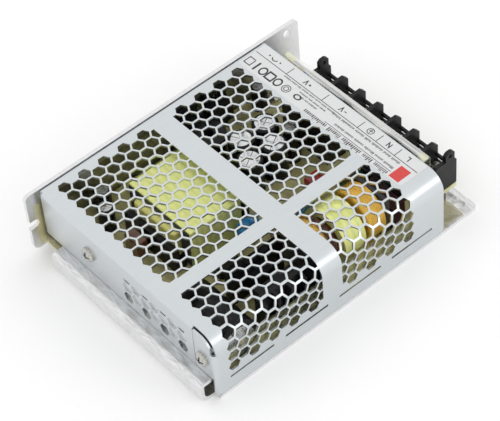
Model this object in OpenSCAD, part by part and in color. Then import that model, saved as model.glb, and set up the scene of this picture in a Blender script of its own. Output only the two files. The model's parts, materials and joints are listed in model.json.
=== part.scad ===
/* [Case] */
// Overall length, rear lip to terminal end
case_l = 129; // [126:0.5:150]
// Overall width across the side walls
case_w = 97; // [95:0.5:115]
// Height of the case without its label
case_h = 30; // [29:0.5:40]
// Thickness of the chassis sheet
chassis_t = 1.5; // [1.2:0.1:1.8]
// Thickness of the cover sheet
cover_t = 0.8; // [0.6:0.1:1]
// Outer radius of the cover's large bend
cover_bend_r = 7; // [5:0.5:9]
// Outer radius of the small bends
fold_r = 2; // [1.9:0.1:2.5]
// Depth of the rear lip behind the cover
lip_d = 5.1; // [4.5:0.1:7]
// Height of the rear lip's shelf
lip_h = 9.5; // [8:0.5:11]
// Outer radius of the bend from the base into the rear lip
lip_bend_r = 4; // [2.5:0.5:5]
// Height of the flange behind the cover's rear wall
flange_h = 22.4; // [21:0.2:24]
// Length of the terminal bay in front of the cover
bay_l = 17.3; // [16.5:0.1:22]
// Gap along a free sheet edge
seam = 0.2; // [0.15:0.05:0.5]

/* [Vent holes] */
// Distance between neighbouring holes
hex_pitch = 5.2; // [4.8:0.1:6]
// Web between neighbouring holes
hex_web = 0.75; // [0.6:0.05:1.1]
// Distance from the cover's rear face to the first column of holes
hex_rear_margin = 8.4; // [7:0.1:10]
// Distance from the far wall to the first row of holes
hex_far_margin = 5.6; // [4:0.1:7]
// Lowest hole centre in the near wall
hex_low = 11.5; // [11:0.5:14]
// Distance from the first row to the long plain strip
strip_at = 59.8; // [50:0.2:64]
// Width of the long plain strip
strip_w = 6; // [3:0.2:8]
// Length of the plain zone under the label
label_zone = 14.5; // [13:0.1:20]
// Length of each slot low in the near wall
slot_l = 19.6; // [12:0.2:22]
// Width of each slot low in the near wall
slot_w = 1; // [0.6:0.1:2]
// Height of the slots above the base's underside
slot_z = 7.5; // [6:0.1:8.5]
// Distance between slots
slot_pitch = 25; // [24:0.5:27]

/* [Mounting] */
// Diameter of the hole in the front ear
ear_hole_d = 3.5; // [3.2:0.1:4.2]
// Diameter of the hole in the base
base_hole_d = 4; // [3.4:0.1:4.6]
// Distance of the ear hole from the terminal end
ear_hole_end = 5.6; // [4.5:0.1:6.5]
// Distance of the base hole from the terminal end
base_hole_end = 4.2; // [4:0.1:6]
// Distance of the base hole from the near edge
base_hole_side = 5.2; // [4.5:0.1:6]
// Height of the hole in the front ear
ear_hole_z = 26; // [20:0.5:26.5]
// Height of the open slot in the rear ear
ear_slot_z = 15; // [12:0.5:20]
// Depth of the open slot in the rear ear
ear_slot_l = 4; // [3:0.1:4.5]
// Width of the open slot in the rear ear
ear_slot_w = 3.8; // [3.2:0.1:4.4]

/* [Circuit board] */
// Thickness of the board
pcb_t = 1.6; // [1.2:0.1:2]
// Height of the standoffs under the board
standoff_h = 3.5; // [3:0.1:5]
// Radius of the standoffs
standoff_r = 3.2; // [2.8:0.1:3.5]
// Thickness of the insulating film
film_t = 0.4; // [0.2:0.05:0.5]
// Height of the film along the near wall
film_near_h = 21; // [12:0.5:22]
// Height of the film along the far wall
film_far_h = 24; // [12:0.5:24.5]

/* [Terminals] */
// Distance between terminal screws
term_pitch = 9.5; // [9:0.1:10]
// Thickness of the barriers
barrier_t = 1.6; // [1.2:0.1:2]
// Height of the barriers above the board
barrier_h = 13.6; // [12.5:0.1:15]
// Height of the end ears above the barriers
ear_h = 3.8; // [3:0.1:4.5]
// Depth of the terminal block
block_d = 11.6; // [11.2:0.1:12]
// Height of the bay floor above the board
floor_h = 3.6; // [3.2:0.1:4.5]
// Sideways shift of the terminal block from the case centre
block_shift = -3.75; // [-5:0.25:-2]
// Radius of the terminal screw's shank
term_shank_r = 1.7; // [1.4:0.05:1.9]
// Radius of the terminal screw's head
term_head_r = 3.1; // [2.7:0.1:3.2]
// Height of the terminal screw's head
term_head_h = 2.2; // [1.8:0.1:2.6]
// Side of the square clamp
clamp_side = 6.6; // [6.3:0.1:6.8]
// Thickness of the clamp
clamp_t = 0.9; // [0.7:0.1:1.2]
// Thickness of the contact plate
contact_t = 1; // [0.8:0.1:1.3]
// Radial running clearance of screws and rotor
run_gap = 0.06; // [0.03:0.01:0.1]

/* [Transformer] */
// Length of the taped core along the case
core_l = 24; // [20:0.5:25]
// Width of the taped core across the case
core_w = 34; // [30:0.5:35]
// Height of the taped core's top above the board
core_h = 18.6; // [16:0.2:20]
// Thickness of the core tape
tape_t = 0.5; // [0.3:0.1:0.8]
// How far the winding stands out of the core at each end
winding_out = 3; // [2:0.1:4.5]

/* [Choke] */
// Gap between the taped middle and the cover above it
choke_gap = 0.7; // [0.5:0.1:2]
// Width of the taped middle
choke_tape_w = 9.6; // [8:0.2:11]
// Length of each coil
choke_coil_l = 8.2; // [6:0.1:8.6]
// Length of the neck between a coil and the taped middle
choke_neck_l = 2.2; // [1.6:0.1:3]
// Thickness of the core's end plates
choke_plate_t = 1.5; // [1:0.1:2]

/* [Capacitors] */
// Diameter of the bulk capacitor
bulk_d = 18; // [16:0.5:18.5]
// Length of the bulk capacitor
bulk_l = 30; // [25:0.5:31]
// Diameter of the output capacitors
out_cap_d = 10; // [8:0.1:10.2]
// Height of the output capacitors
out_cap_h = 16; // [12:0.5:19]
// Diameter of the small capacitors
small_cap_d = 6.3; // [5:0.1:6.6]
// Height of the small capacitors
small_cap_h = 11; // [8:0.5:14]
// Diameter of the ceramic discs
disc_d = 9.5; // [8:0.1:10]
// Thickness of the ceramic discs
disc_t = 4; // [3:0.1:4.4]

/* [Label] */
// Length of the label along the case
label_l = 13.4; // [11:0.1:13.8]
// Width of the label across the case
label_w = 86; // [70:0.5:86.5]
// Thickness of the label
label_t = 0.1; // [0.05:0.01:0.2]

/* [Hidden] */
$fn = 64;
WAYS = 7;

// Outer faces of the case
rear_x = -case_l / 2;
front_x = case_l / 2;
near_y = -case_w / 2;
far_y = case_w / 2;
far_in = far_y - chassis_t;
near_in = near_y + cover_t;

// Cover
cover_rear_x = rear_x + lip_d;
cover_front_x = front_x - bay_l;
cover_far_y = far_in - seam;
cover_low_z = chassis_t + seam;
rear_fold_r = 1.2 * cover_t + 0.24;
rear_low_z = lip_h + seam;
tab_w = 8.4;
tab_y = near_y + fold_r + tab_w;
flat_y = (near_y + cover_bend_r + cover_far_y - rear_fold_r) / 2;
far_flange_h = 4.6;

// Rear flange of the chassis, face to face with the cover's rear wall
flange_x = cover_rear_x + cover_t;
rear_in = flange_x + chassis_t;
lip_near_y = near_y + fold_r + 0.6;
lip_far_y = far_y - 12.5;
base_rear_x = cover_rear_x + 1;

// Hexagon lattice, with u measured along the sheet from the first row
hex_r = (hex_pitch - hex_web) / sqrt(3);
hex_flat = (hex_pitch - hex_web) / 2;
hex_dx = hex_pitch * sqrt(3) / 2;
hex_x0 = cover_rear_x + hex_rear_margin;
hex_y0 = far_in - hex_far_margin;
hex_cols = floor((cover_front_x - label_zone - hex_x0) / hex_dx);
mid_col = floor(hex_cols / 2);
bend_u = hex_y0 - (near_y + cover_bend_r);
bend_len = (cover_bend_r - cover_t / 2) * PI / 2;
side_u = bend_u + bend_len;
side_top_z = case_h - cover_bend_r;
hex_rows = floor((side_u + side_top_z - hex_low) / hex_pitch);
strip_end = strip_at + strip_w;

// Vent holes of the rear wall
rear_cols = 7;
rear_col_pitch = 4.87;
rear_vent_y = -2.4;
rear_vent_z = 14.3;
rear_vent_top = 23.4;

// Cover screws, as [y, z] on the rear wall
cover_screw_at = [[near_y + 6.2, 17.4], [18.8, 19.8]];
cover_screw_r = 1.5;
cover_head_r = 3;
cover_head_h = 1.9;
cover_screw_l = 4.2;

// Radial gap of a screw in its thread, in a through hole, and of a round seat
tap_gap = 0.05;
hole_gap = 0.25;
seat_gap = 0.02;

// Board
block_w = WAYS * term_pitch + barrier_t;
pcb_z = chassis_t + standoff_h;
pcb_top = pcb_z + pcb_t;
pcb_gap = 1;
pcb_rear_x = rear_in + 0.5;
pcb_front_x = front_x - 0.7;
pcb_near_y = near_in + film_t + pcb_gap;
pcb_far_y = far_in - film_t - 0.6;
tongue_near_y = block_shift - block_w / 2 - 0.3;
tongue_x = cover_front_x + 2;
pcb_screw_r = 1.45;
pcb_head_r = 2.7;
pcb_head_h = 1.8;
rest_tab_x = front_x - 6;
rest_tab_l = 3.4;
rest_tab_gap = 2.3;

// Terminal block
block_x1 = front_x - 0.3;
block_x0 = block_x1 - block_d;
barrier_z = pcb_top + barrier_h;
floor_z = pcb_top + floor_h;
contact_z = floor_z + contact_t;
clamp_z = contact_z + run_gap;
head_z = clamp_z + clamp_t + run_gap;
back_wall_t = 1.6;
front_lip_t = 1;
rail_gap = 1.9;
rail_h = 1.3;
term_x = block_x1 - 5.7;
shank_l = head_z - pcb_top - 0.5;
bay_w = term_pitch - barrier_t;

// Shield in front of the cover's edge
shield_t = 0.8;
shield_x = block_x0 - 0.6 - shield_t;
shield_top = case_h - 1.4;
shield_lip = 1.6;
shield_w = 74.6;

// Sizes of the pieces on the board, boxes as [along, across, high]
trim_side = 6.6;
trim_h = 5;
rotor_r = 2.1;
rotor_h = 1.4;
rotor_sink = 1;
led_r = 1.5;
led_foot_r = 1.8;
core_z = pcb_top + 1;
core_leg = 5.2;
core_floor = 2.6;
rail_out = 2.4;
cheek_h = 11;
transformer_l = core_l + 2 * (winding_out + rail_out);
choke_foot = 0.3;
choke_r = (case_h - cover_t - choke_gap - pcb_top - choke_foot) / 2;
choke_z = pcb_top + choke_foot + choke_r;
choke_coil_r = choke_r - 0.4;
choke_neck_r = choke_r - 3.4;
choke_leg_r = 3.6;
choke_plate_x = choke_tape_w / 2 + choke_neck_l + choke_coil_l + 0.2;
choke_half = choke_plate_x + choke_plate_t;
cap_step = out_cap_d + 1.6;
cap_row_x = 0.38 * cap_step;
cap_row_y = 0.84 * cap_step;
caps_l = cap_step + out_cap_d + 3 + small_cap_d;
disc_turn = 18;
disc_reach = disc_d * sin(disc_turn) + disc_t * cos(disc_turn);
disc_lift = 2;
snubber = [5, 8, 9];
film_cap = [7, 5, 9];
mains_cap = [6, 17, 12];
bridge = [18, 4.6, 15];
fuse_r = 2.6;
fuse_l = 20;
thermistor_d = 9;
thermistor_t = 4;
thermistor_lift = 2;
inductor_r = 6.8;
inductor_h = 14;
inductor_bore = 2;
inductor_back = 5.7;
diode_back = 6.2;
diode_step = 14;
out_sink_back = 5.8;
package_w = 10;
package_t = 4.5;
package_h = 18.6;
package_body_h = 12.4;
package_tab_t = 1.3;
package_hole_r = 1.8;
package_lead = 3;
ic = [10, 6.4, 4];
ic_leg_out = 0.4;
resistor_r = 1.25;
resistor_l = 8;
resistor_step = 3.5;
sink_t = 2;
sink_l = 25;
sink_h = 17.4;
fin_d = 3.4;
fin_t = 1.2;
out_sink_l = 24;
out_sink_d = 9.4;

// Start of piece n in a row whose gaps share the room that the pieces leave
function total(v, n) = n == 0 ? 0 : v[n - 1] + total(v, n - 1);
function start(n, room, sizes, gaps) =
    total(sizes, n) + total(gaps, n + 1) * (room - total(sizes, len(sizes))) / total(gaps, len(gaps));

// Row along the near wall, clear of the cover screws' tips:
// bulk capacitor, heat sink, choke, mains capacitor, fuse
near_row = [bulk_d, sink_l, 2 * choke_half, mains_cap[0], 2 * fuse_r];
near_gaps = [0.6, 3.4, 2.7, 2.4, 3.9, 1.4];
tip_x = cover_rear_x + cover_screw_l;
near_l = cover_front_x - tip_x;
bulk_x = tip_x + start(0, near_l, near_row, near_gaps) + bulk_d / 2;
sink_x = tip_x + start(1, near_l, near_row, near_gaps);
choke_x = tip_x + start(2, near_l, near_row, near_gaps) + choke_half;
mains_x = tip_x + start(3, near_l, near_row, near_gaps);
fuse_x = tip_x + start(4, near_l, near_row, near_gaps) + fuse_r;

// Row along the middle: snubber, transformer, output capacitors, output heat sink
mid_row = [snubber[0], transformer_l, caps_l, out_sink_d];
mid_gaps = [14.1, 1.1, 5.9, 1.3, 1.8];
row_l = cover_front_x - rear_in;
snubber_x = rear_in + start(0, row_l, mid_row, mid_gaps);
core_x = rear_in + start(1, row_l, mid_row, mid_gaps) + transformer_l / 2;
caps_x = rear_in + start(2, row_l, mid_row, mid_gaps) + cap_row_x + out_cap_d / 2;
out_sink_x = rear_in + start(3, row_l, mid_row, mid_gaps);

// Column at the rear: heat sink with rectifier, transistor with its plate, resistors, controller, transformer
resistor_w = resistor_step + 2 * resistor_r;
ic_w = ic[1] + 2 * ic_leg_out;
rear_col = [fin_d + sink_t + bridge[1], package_t + sink_t, resistor_w, ic_w, core_w];
rear_gaps = [1.6, 4.9, 0.55, 2.75, 3.8, 15];
col_w = pcb_far_y - pcb_near_y;
sink_y = pcb_near_y + start(0, col_w, rear_col, rear_gaps) + fin_d;
transistor_y = pcb_near_y + start(1, col_w, rear_col, rear_gaps) + package_t;
resistor_y = pcb_near_y + start(2, col_w, rear_col, rear_gaps) + resistor_r;
ic_y = pcb_near_y + start(3, col_w, rear_col, rear_gaps) + ic_leg_out;
core_y = pcb_near_y + start(4, col_w, rear_col, rear_gaps) + core_w / 2;

// Column at the front: choke, disc, film capacitor, output capacitors, inductor, rectifiers
diode_y = cover_far_y - cover_t - 0.45;
front_col = [2 * choke_r, disc_reach, film_cap[1], cap_row_y + out_cap_d, 2 * inductor_r, package_t];
front_gaps = [4.5, 3, 1.66, 10.06, 0, 1.3, 0];
front_w = diode_y - pcb_near_y;
choke_y = pcb_near_y + start(0, front_w, front_col, front_gaps) + choke_r;
disc_y = pcb_near_y + start(1, front_w, front_col, front_gaps) + disc_reach / 2;
film_cap_y = pcb_near_y + start(2, front_w, front_col, front_gaps);
caps_y = pcb_near_y + start(3, front_w, front_col, front_gaps) + out_cap_d / 2;
inductor_y = pcb_near_y + start(4, front_w, front_col, front_gaps) + inductor_r;

// Adjuster and lamp between the terminal block and the far wall
block_far_y = block_shift + block_w / 2;
end_row = [trim_side, 2 * led_foot_r];
end_gaps = [2.2, 1.1, 3.2];
trim_x = term_x - 1.5;
trim_y = block_far_y + start(0, far_in - block_far_y, end_row, end_gaps) + trim_side / 2;
led_y = block_far_y + start(1, far_in - block_far_y, end_row, end_gaps) + led_foot_r;

// First disc, beside the transformer
disc_x = core_x + transformer_l / 2 - 5.9;
disc_low_y = core_y - core_w / 2 - 2 - disc_t;

// Board supports
standoffs = [
    [rear_in + 5.5, far_in - 6.5],
    [disc_x, (choke_y + choke_r + disc_low_y) / 2],
    [cover_front_x - 2.5, far_in - 6.5],
    [cover_front_x - 4.5, pcb_near_y + 4.6],
];

// Box between two opposite corners
module span(a, b) {
    translate(a)
        cube(b - a);
}

// Upright plate drawn in X and Z, from y to y + t
module upright_x(y, t) {
    translate([0, y + t, 0])
        rotate([90, 0, 0])
            linear_extrude(t)
                children();
}

// Upright plate drawn in Y and Z, from x to x + t
module upright_y(x, t) {
    translate([x, 0, 0])
        rotate([90, 0, 90])
            linear_extrude(t)
                children();
}

// Quarter of a ring in the corner that the signs point to
module quarter_ring(r, t, sx, sy) {
    difference() {
        intersection() {
            circle(r);
            translate([min(0, sx * r), min(0, sy * r)])
                square(r);
        }
        circle(r - t);
    }
}

// What rounding a corner by r takes away
module corner_cut(x, y, r, sx, sy) {
    translate([x, y])
        mirror([sx > 0 ? 0 : 1, 0])
            mirror([0, sy > 0 ? 0 : 1])
                translate([-r, -r])
                    difference() {
                        square(r + 1);
                        circle(r);
                    }
}

module tile(x0, x1, y0, y1) {
    translate([x0, y0])
        square([x1 - x0, y1 - y0]);
}

// Pan head with its seat on z = 0, rising along +Z, with a cross recess
module pan_screw(head_r, head_h, shank_r, shank_l) {
    dome = head_r * 1.6;
    difference() {
        union() {
            intersection() {
                cylinder(r = head_r, h = head_h);
                translate([0, 0, head_h - dome])
                    sphere(dome);
            }
            translate([0, 0, -shank_l])
                cylinder(r = shank_r, h = shank_l + 0.2);
        }
        for (a = [0, 90])
            rotate(a)
                translate([-head_r * 0.62, -head_r * 0.13, head_h * 0.45])
                    cube([head_r * 1.24, head_r * 0.26, head_h]);
    }
}

// Electrolytic can with a rolled groove and a sunken top, standing on z = 0
module can(d, h) {
    r = d / 2;
    groove = 0.05 * d;
    rotate_extrude()
        polygon([
            [0, 0], [r, 0], [r, 0.1 * d],
            [r - groove, 0.1 * d + groove], [r - groove, 0.1 * d + 2 * groove],
            [r, 0.1 * d + 3 * groove], [r, h - groove], [r - groove, h],
            [r - 2 * groove, h], [r - 2.2 * groove, h - 0.6 * groove], [0, h - 0.6 * groove],
        ]);
}

// Tabbed power package, standing on three leads, with its tab in the +Y face
module power_package() {
    half_w = package_w / 2;
    color("dimgray") {
        span([-half_w, -package_t, package_lead], [half_w, -package_tab_t, package_body_h]);
        difference() {
            span([-half_w, -package_tab_t, package_lead], [half_w, 0, package_h]);
            translate([0, 1, (package_body_h + package_h) / 2])
                rotate([90, 0, 0])
                    cylinder(r = package_hole_r, h = package_tab_t + 2);
        }
        for (x = [-2.54, 0, 2.54])
            span([x - 0.4, -package_tab_t - 1.8, 0], [x + 0.4, -package_tab_t - 1.3, package_lead + 0.1]);
    }
}

// Part of a polygon on one side of a line across an axis
function cut(p, axis, side, at) = [
    for (k = [0:len(p) - 1])
        let (a = p[k], b = p[(k + 1) % len(p)], da = side * (at - a[axis]), db = side * (at - b[axis]))
            each concat(da >= 0 ? [a] : [], da * db < 0 ? [a + (b - a) * da / (da - db)] : [])
];

function hex(c) = [for (k = [0:5]) c + hex_r * [cos(60 * k), sin(60 * k)]];
function hex_x(i) = hex_x0 + i * hex_dx;
function hex_u(i, j) = hex_pitch * (j + (i % 2) / 2);

// Straight edges of the plain cross band and the plain strip
function cut_band(p, i) =
    i == mid_col ? cut(p, 0, 1, hex_x(i)) : i == mid_col + 2 ? cut(p, 0, -1, hex_x(i)) : p;
function cut_strip(p, u) =
    u < (strip_at + strip_end) / 2 ? cut(p, 1, 1, strip_at) : cut(p, 1, -1, strip_end);
function cell(i, u) = cut_strip(cut_band(hex([hex_x(i), u]), i), u);
function open_cell(i, u) =
    i != mid_col + 1
    && (u - hex_flat < strip_at - 0.8 || u + hex_flat > strip_end + 0.8);

// Every hole as [column, u], by the stretch of sheet that it lies in
all_cells = [
    for (i = [0:hex_cols], j = [0:hex_rows])
        let (u = hex_u(i, j))
            if (open_cell(i, u) && u <= side_u + side_top_z - hex_low) [i, u]
];
top_cells = [for (c = all_cells) if (c[1] + hex_flat < bend_u - 0.05) c];
side_cells = [for (c = all_cells) if (c[1] - hex_flat > side_u + 0.05) c];
bend_cells = [
    for (c = all_cells)
        if (c[1] + hex_flat >= bend_u - 0.05 && c[1] - hex_flat <= side_u + 0.05) c
];

// Polygon with holes, from its outline and a list of loops
function flat_points(loops) = [for (l = loops) each l];
function loop_paths(loops) = [
    for (k = 0, at = 0; k < len(loops); at = at + len(loops[k]), k = k + 1)
        [for (n = [0:len(loops[k]) - 1]) at + n]
];

module pierced(outline, holes) {
    loops = concat([outline], holes);
    polygon(flat_points(loops), loop_paths(loops));
}

function box_loop(x0, x1, y0, y1) = [[x0, y0], [x1, y0], [x1, y1], [x0, y1]];

module chassis_base() {
    linear_extrude(chassis_t)
        difference() {
            tile(base_rear_x, front_x, near_y, far_y - fold_r);
            corner_cut(front_x, near_y, 2, 1, -1);
            translate([front_x - base_hole_end, near_y + base_hole_side])
                circle(d = base_hole_d);
            tile(rest_tab_x, rest_tab_x + rest_tab_l, tongue_near_y - rest_tab_gap, tongue_near_y);
        }
}

module chassis_far_wall() {
    upright_x(far_in, chassis_t)
        difference() {
            tile(rear_x, front_x, fold_r, case_h);
            corner_cut(rear_x, case_h, 2, -1, 1);
            corner_cut(front_x, case_h, 2, 1, 1);
            corner_cut(rear_x, fold_r, 3, -1, -1);
            translate([front_x - ear_hole_end, ear_hole_z])
                circle(d = ear_hole_d);
            translate([rear_x + ear_slot_l - ear_slot_w / 2, ear_slot_z])
                circle(d = ear_slot_w);
            tile(rear_x - 1, rear_x + ear_slot_l - ear_slot_w / 2,
                 ear_slot_z - ear_slot_w / 2, ear_slot_z + ear_slot_w / 2);
        }
    upright_y(base_rear_x, front_x - base_rear_x)
        translate([far_y - fold_r, fold_r])
            quarter_ring(fold_r, chassis_t, 1, -1);
}

module chassis_lip() {
    upright_x(lip_near_y, lip_far_y - lip_near_y) {
        tile(rear_x + lip_bend_r, base_rear_x, 0, chassis_t);
        translate([rear_x + lip_bend_r, lip_bend_r])
            quarter_ring(lip_bend_r, chassis_t, -1, -1);
        tile(rear_x, rear_x + chassis_t, lip_bend_r, lip_h - fold_r);
        translate([rear_x + fold_r, lip_h - fold_r])
            quarter_ring(fold_r, chassis_t, -1, 1);
        tile(rear_x + fold_r, rear_in, lip_h - chassis_t, lip_h);
        tile(flange_x, rear_in, lip_h - chassis_t, flange_h);
    }
}

module chassis_standoffs() {
    for (p = standoffs)
        translate([p[0], p[1], chassis_t / 2])
            cylinder(r = standoff_r, h = pcb_z - chassis_t / 2);
    span([rest_tab_x, tongue_near_y, 0],
         [rest_tab_x + rest_tab_l, tongue_near_y + chassis_t, pcb_z]);
}

// Folded aluminium: base, far wall, rear lip and flange, with raised standoffs
module chassis() {
    color("gainsboro")
        difference() {
            union() {
                chassis_base();
                chassis_far_wall();
                chassis_lip();
                chassis_standoffs();
            }
            for (p = standoffs)
                translate([p[0], p[1], chassis_t])
                    cylinder(r = pcb_screw_r + tap_gap, h = pcb_z);
            for (s = cover_screw_at)
                translate([flange_x - 1, s[0], s[1]])
                    rotate([0, 90, 0])
                        cylinder(r = cover_screw_r + tap_gap, h = chassis_t + 2);
            for (k = [0:2:rear_cols - 1])
                translate([0, rear_vent_y - k * rear_col_pitch, 0])
                    span([flange_x - 1, -hex_r, rear_vent_z - hex_flat],
                         [rear_in + 1, hex_r, rear_vent_z + hex_flat]);
        }
}

module cover_top() {
    translate([0, 0, case_h - cover_t])
        linear_extrude(cover_t)
            pierced(
                box_loop(cover_rear_x + rear_fold_r, cover_front_x,
                         near_y + cover_bend_r, cover_far_y - rear_fold_r),
                [for (c = top_cells) [for (p = cell(c[0], c[1])) [p[0], hex_y0 - p[1]]]]
            );
}

module cover_bend() {
    upright_y(cover_rear_x + rear_fold_r, cover_front_x - cover_rear_x - rear_fold_r) {
        translate([near_y + cover_bend_r, side_top_z])
            quarter_ring(cover_bend_r, cover_t, -1, 1);
        translate([cover_far_y - rear_fold_r, case_h - rear_fold_r])
            quarter_ring(rear_fold_r, cover_t, 1, 1);
        tile(cover_far_y - cover_t, cover_far_y, case_h - far_flange_h, case_h - rear_fold_r);
    }
}

module cover_side() {
    slots = 4;
    first = (cover_rear_x + cover_front_x) / 2 - slot_pitch * (slots - 1) / 2 + 0.2;
    upright_x(near_y, cover_t)
        pierced(
            box_loop(cover_rear_x + fold_r, cover_front_x, cover_low_z, side_top_z),
            concat(
                [for (c = side_cells)
                    [for (p = cell(c[0], c[1])) [p[0], side_top_z - (p[1] - side_u)]]],
                [for (k = [0:slots - 1])
                    let (x = first + k * slot_pitch)
                        box_loop(x - slot_l / 2, x + slot_l / 2, slot_z - slot_w / 2, slot_z + slot_w / 2)]
            )
        );
}

// Rear wall turned down from the top, and the tab turned round from the near wall
module cover_rear() {
    vents = [
        for (k = [0:rear_cols - 1], row = [0:2])
            let (z = rear_vent_z + hex_pitch * (row + (k % 2) / 2))
                if (z - hex_flat < rear_vent_top - 0.5)
                    cut(hex([rear_vent_y - k * rear_col_pitch, z]), 1, 1, rear_vent_top)
    ];
    upright_y(cover_rear_x, cover_t)
        difference() {
            pierced(
                box_loop(tab_y + seam, cover_far_y - fold_r, rear_low_z, case_h - rear_fold_r),
                vents
            );
            translate(cover_screw_at[1])
                circle(cover_screw_r + hole_gap);
        }
    upright_x(tab_y + seam, cover_far_y - fold_r - tab_y - seam)
        translate([cover_rear_x + rear_fold_r, case_h - rear_fold_r])
            quarter_ring(rear_fold_r, cover_t, -1, 1);
    upright_y(cover_rear_x, cover_t)
        difference() {
            tile(near_y + fold_r, tab_y, rear_low_z, case_h - cover_t - seam);
            difference() {
                tile(near_y - 1, near_y + cover_bend_r, side_top_z, case_h);
                translate([near_y + cover_bend_r, side_top_z])
                    circle(cover_bend_r - cover_t - seam);
            }
            translate(cover_screw_at[0])
                circle(cover_screw_r + hole_gap);
        }
    translate([cover_rear_x + fold_r, near_y + fold_r, cover_low_z])
        linear_extrude(side_top_z - seam - cover_low_z)
            quarter_ring(fold_r, cover_t, -1, -1);
}

// Perforated cover: top, large near bend, near wall, rear wall and corner tab
module cover() {
    color("lightsteelblue")
        difference() {
            union() {
                cover_top();
                cover_bend();
                cover_side();
                cover_rear();
            }
            for (c = bend_cells)
                let (angle = min(90, max(0, 90 * (c[1] - bend_u) / bend_len)))
                    let (over = c[1] - bend_u - bend_len * angle / 90)
                        translate([0, near_y + cover_bend_r, side_top_z])
                            rotate([angle, 0, 0])
                                translate([0, -over, cover_bend_r - 3 * cover_t])
                                    linear_extrude(4 * cover_t)
                                        polygon([
                                            for (p = cell(c[0], c[1]))
                                                [p[0], c[1] - p[1]]
                                        ]);
        }
}

// Pan-head screws through the rear wall into the flange
module cover_screws() {
    color("silver")
        for (s = cover_screw_at)
            translate([cover_rear_x, s[0], s[1]])
                rotate([0, -90, 0])
                    pan_screw(cover_head_r, cover_head_h, cover_screw_r, cover_screw_l);
}

// Film under the board, turned up along both side walls
module insulation_sheet() {
    near = near_in + 0.1;
    far = far_in - 0.1;
    rear = rear_in + 0.4;
    front = rest_tab_x - 0.5;
    flap = 2.4;
    color("khaki")
        difference() {
            union() {
                span([rear, near, chassis_t], [front, far - fold_r, chassis_t + film_t]);
                span([rear, near, chassis_t], [cover_front_x - 0.4, near + film_t, film_near_h]);
                span([rear, far - fold_r, chassis_t + fold_r],
                     [cover_front_x - 0.4, far, chassis_t + fold_r + film_t]);
                span([rear, far - fold_r - film_t, chassis_t],
                     [cover_front_x - 0.4, far - fold_r, chassis_t + fold_r + film_t]);
                span([cover_rear_x - flap, far - film_t, chassis_t + fold_r],
                     [cover_front_x - 0.4, far, film_far_h]);
                span([cover_rear_x - flap, lip_far_y + 0.6, lip_h - chassis_t],
                     [cover_rear_x + 0.4, far, lip_h - chassis_t + film_t]);
            }
            for (p = standoffs)
                translate([p[0], p[1], 0])
                    cylinder(r = standoff_r + 0.4, h = pcb_z);
        }
}

// Board with a tongue that carries the terminal block
module pcb() {
    color("darkolivegreen")
        translate([0, 0, pcb_z])
            linear_extrude(pcb_t)
                difference() {
                    union() {
                        tile(pcb_rear_x, tongue_x, pcb_near_y, pcb_far_y);
                        tile(tongue_x - 1, pcb_front_x, tongue_near_y, pcb_far_y);
                    }
                    for (p = standoffs)
                        translate(p)
                            circle(pcb_screw_r + hole_gap);
                }
}

// Screws that hold the board to the standoffs
module pcb_screws() {
    color("silver")
        for (p = standoffs)
            translate([p[0], p[1], pcb_top])
                pan_screw(pcb_head_r, pcb_head_h, pcb_screw_r, pcb_t + standoff_h - 0.6);
}

function way_y(k) = block_shift + (k - (WAYS + 1) / 2) * term_pitch;

module barrier(y, ear) {
    chamfer = 1.7;
    ear_x0 = block_x1 - 5.4;
    ear_x1 = block_x1 - 1;
    ear_top = barrier_z + ear_h;
    upright_x(y - barrier_t / 2, barrier_t)
        difference() {
            union() {
                polygon([
                    [block_x0, pcb_top], [block_x1, pcb_top], [block_x1, barrier_z - chamfer],
                    [block_x1 - chamfer, barrier_z], [block_x0 + chamfer, barrier_z],
                    [block_x0, barrier_z - chamfer],
                ]);
                if (ear)
                    polygon([
                        [ear_x0, barrier_z - chamfer], [ear_x1, barrier_z - chamfer],
                        [ear_x1, ear_top - 1], [ear_x1 - 1.2, ear_top],
                        [ear_x0 + 1.2, ear_top], [ear_x0, ear_top - 1],
                    ]);
            }
            if (ear)
                translate([(ear_x0 + ear_x1) / 2, barrier_z + ear_h * 0.5])
                    circle(0.9);
        }
}

// Moulded strip with barriers between the bays, a rail over the wire entries and ears at both ends
module terminal_block() {
    color("black")
        difference() {
            union() {
                span([block_x0, block_shift - block_w / 2, pcb_top],
                     [block_x1, block_shift + block_w / 2, floor_z]);
                span([block_x0, block_shift - block_w / 2, pcb_top],
                     [block_x0 + back_wall_t, block_shift + block_w / 2, barrier_z - 3.4]);
                for (z = [[pcb_top, contact_z], [contact_z + rail_gap, contact_z + rail_gap + rail_h]])
                    span([block_x1 - front_lip_t, block_shift - block_w / 2, z[0]],
                         [block_x1, block_shift + block_w / 2, z[1]]);
                for (k = [0:WAYS])
                    barrier(way_y(k + 0.5), k == 0 || k == WAYS);
            }
            for (k = [1:WAYS])
                translate([term_x, way_y(k), pcb_top + 0.3])
                    cylinder(r = term_shank_r + 0.3, h = floor_h);
        }
}

// Plates in the floor of the bays, bored for the screws
module terminal_contacts() {
    color("silver")
        for (k = [1:WAYS])
            translate([0, way_y(k), 0])
                difference() {
                    span([block_x0 + back_wall_t + 0.2, 0.3 - bay_w / 2, floor_z],
                         [block_x1 - front_lip_t - 0.2, bay_w / 2 - 0.3, contact_z]);
                    translate([term_x, 0, floor_z - 1])
                        cylinder(r = term_shank_r + run_gap, h = contact_t + 2);
                }
}

// Square clamp under a screw head
module terminal_clamp(k) {
    color("silver")
        translate([term_x, way_y(k), clamp_z])
            difference() {
                translate([-clamp_side / 2, -clamp_side / 2, 0])
                    cube([clamp_side, clamp_side, clamp_t]);
                translate([0, 0, -1])
                    cylinder(r = term_shank_r + run_gap, h = clamp_t + 2);
            }
}

// Terminal screw with a cross recess
module terminal_screw(k) {
    color("silver")
        translate([term_x, way_y(k), head_z])
            pan_screw(term_head_r, term_head_h, term_shank_r, shank_l);
}

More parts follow.
